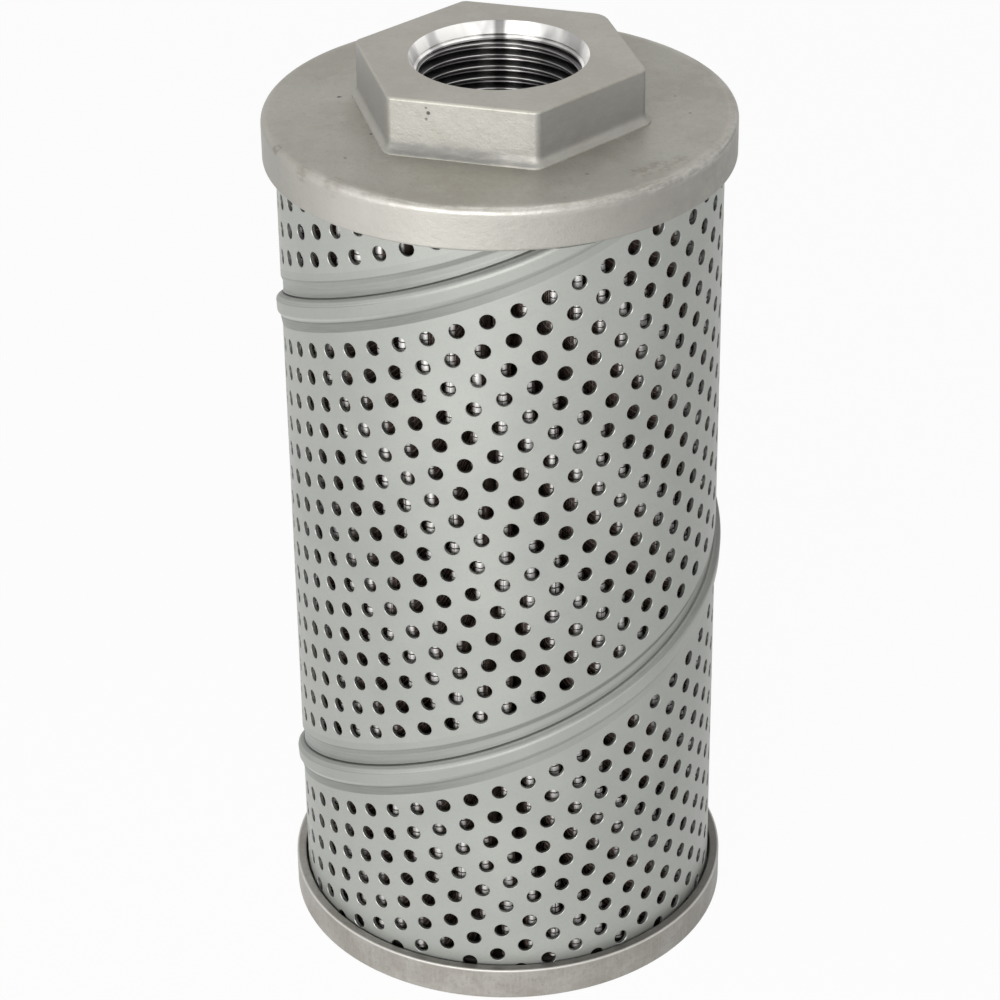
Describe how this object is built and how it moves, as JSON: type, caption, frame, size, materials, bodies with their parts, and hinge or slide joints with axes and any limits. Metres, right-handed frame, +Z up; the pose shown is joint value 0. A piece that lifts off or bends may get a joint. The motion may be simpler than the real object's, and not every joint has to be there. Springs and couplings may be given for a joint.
{
  "type": "hydraulic return filter",
  "caption": "Cylindrical return filter element: hexagon ported end cap, spiral-seamed perforated tube, pleated wire mesh pack and closed bottom cap.",
  "frame": {"origin": "centre of the bottom cap's underside, where the element stands", "axes": "+Z up along the tube's axis towards the port; the pictured side faces -Y"},
  "size_m": [0.0898, 0.0898, 0.1868],
  "materials": {
    "cast_steel": "satin casting with a fine cloudy grain",
    "turned_steel": "fine vertical grain",
    "galvanised_steel": "satin zinc coat",
    "coarse_wire_cloth": "bright drawn wire",
    "fine_wire_cloth": "bright fine weave",
    "clip_steel": "bright rolled strip",
    "cured_adhesive": "cured resin"
  },
  "bodies": {
    "root": {"top_cap": "cast_steel", "bottom_cap": "turned_steel", "outer_tube": "galvanised_steel", "core_tube": "galvanised_steel", "outer_support_mesh": "coarse_wire_cloth", "filter_medium": "fine_wire_cloth", "inner_support_mesh": "coarse_wire_cloth", "pack_seam_clip": "clip_steel", "top_potting": "cured_adhesive", "bottom_potting": "cured_adhesive"}
  },
  "joints": []
}
